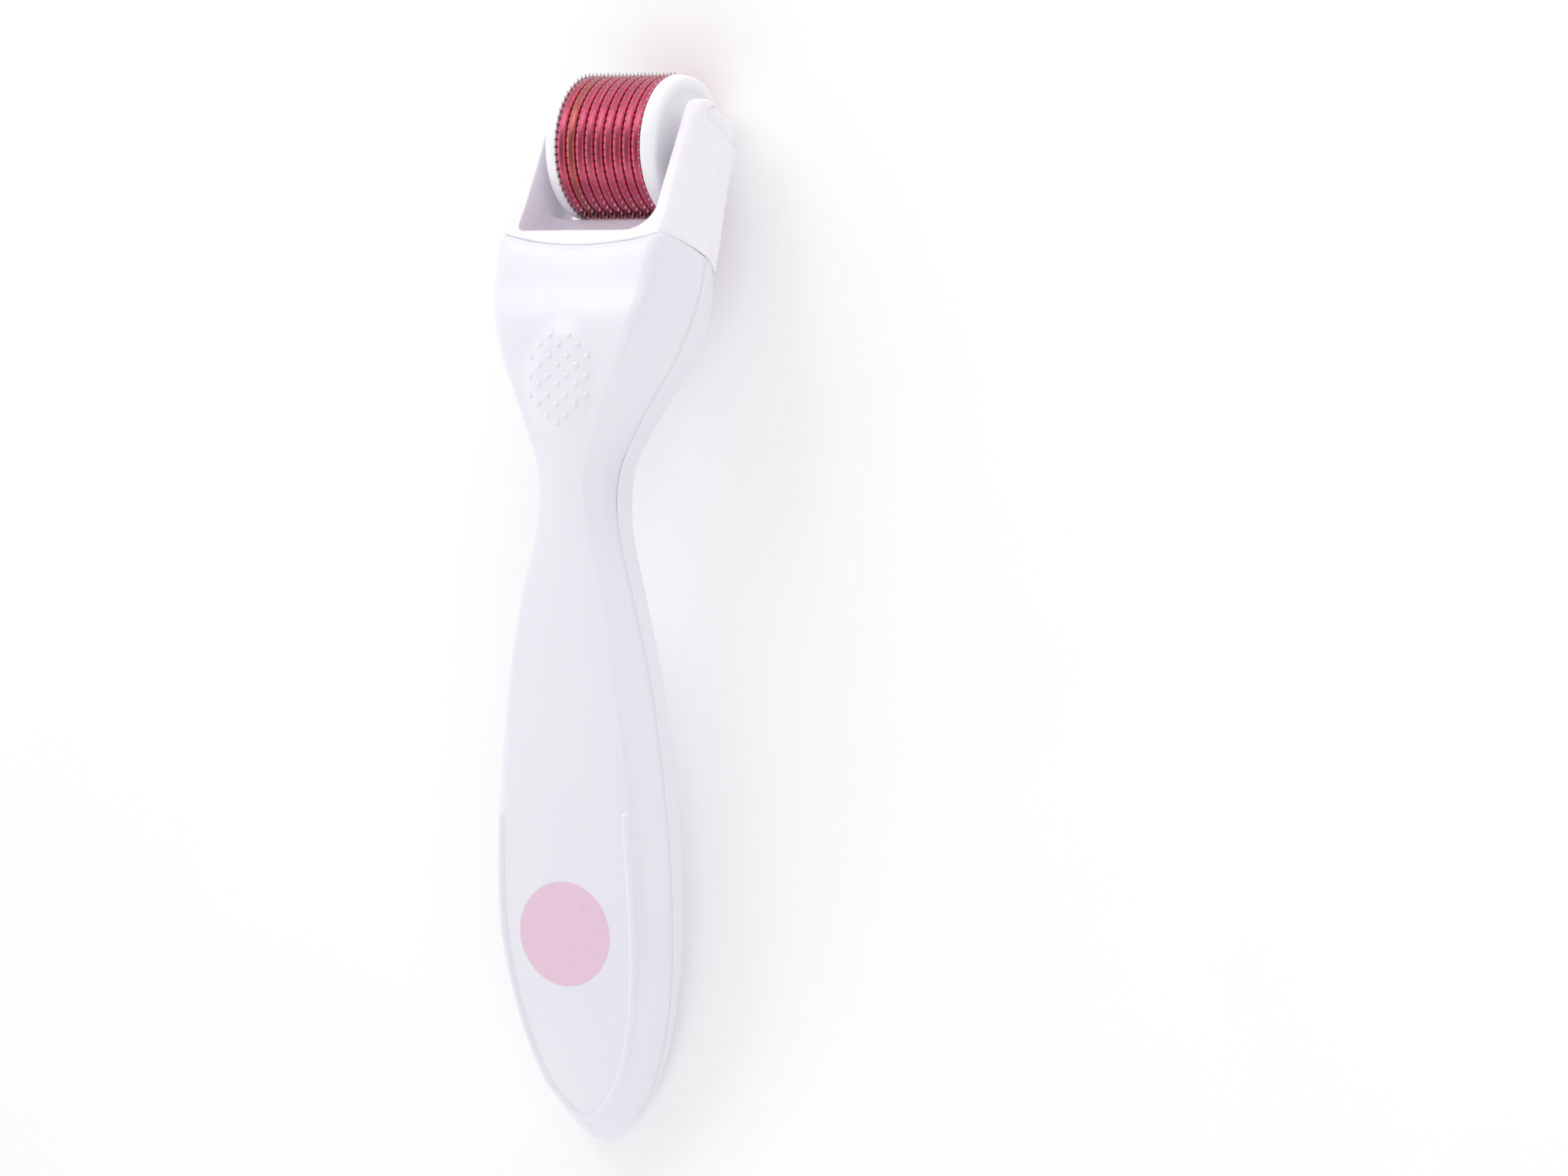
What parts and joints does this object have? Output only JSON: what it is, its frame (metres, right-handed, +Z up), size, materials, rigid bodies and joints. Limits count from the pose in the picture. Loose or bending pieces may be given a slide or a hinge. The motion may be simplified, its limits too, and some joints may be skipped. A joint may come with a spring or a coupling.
{
  "type": "derma roller",
  "caption": "Hand-held microneedle skin roller: waisted plastic handle with a lean-back pull-off fork head; its drum of toothed steel discs between pink rings spins on a steel axle.",
  "frame": {"origin": "centre of the object's box on the surface it lies on", "axes": "+Y along the handle towards the head, +Z up out of the handle's front face, +X to the right"},
  "size_m": [0.038, 0.182, 0.034],
  "materials": {
    "shell_white": "gloss",
    "head_white": "gloss",
    "axle_steel": "polished",
    "drum_white": "gloss",
    "needle_steel": "satin",
    "ring_pink": "metallic gloss"
  },
  "bodies": {
    "handle": {"handle_front_shell": "shell_white", "handle_back_shell": "shell_white", "catch_post": "shell_white"},
    "head": {"head_fork": "head_white", "axle_pin": "axle_steel"},
    "drum": {"drum_core": "drum_white", "end_cap_left": "drum_white", "end_cap_right": "drum_white", "needle_disc_01": "needle_steel", "needle_disc_02": "needle_steel", "needle_disc_03": "needle_steel", "needle_disc_04": "needle_steel", "needle_disc_05": "needle_steel", "needle_disc_06": "needle_steel", "needle_disc_07": "needle_steel", "needle_disc_08": "needle_steel", "needle_disc_09": "needle_steel", "needle_disc_10": "needle_steel", "spacer_ring_01": "ring_pink", "spacer_ring_02": "ring_pink", "spacer_ring_03": "ring_pink", "spacer_ring_04": "ring_pink", "spacer_ring_05": "ring_pink", "spacer_ring_06": "ring_pink", "spacer_ring_07": "ring_pink", "spacer_ring_08": "ring_pink", "spacer_ring_09": "ring_pink"}
  },
  "joints": [
    {"name": "head_pull", "type": "slide", "parent": "handle", "child": "head", "axis": [0, 0.9225, -0.3861], "range_m": [0, 0.022]},
    {"name": "drum_spin", "type": "hinge", "parent": "head", "child": "drum", "pos_m": [0, 0.07818, 0.01285], "axis": [1, 0, 0], "continuous": true}
  ]
}
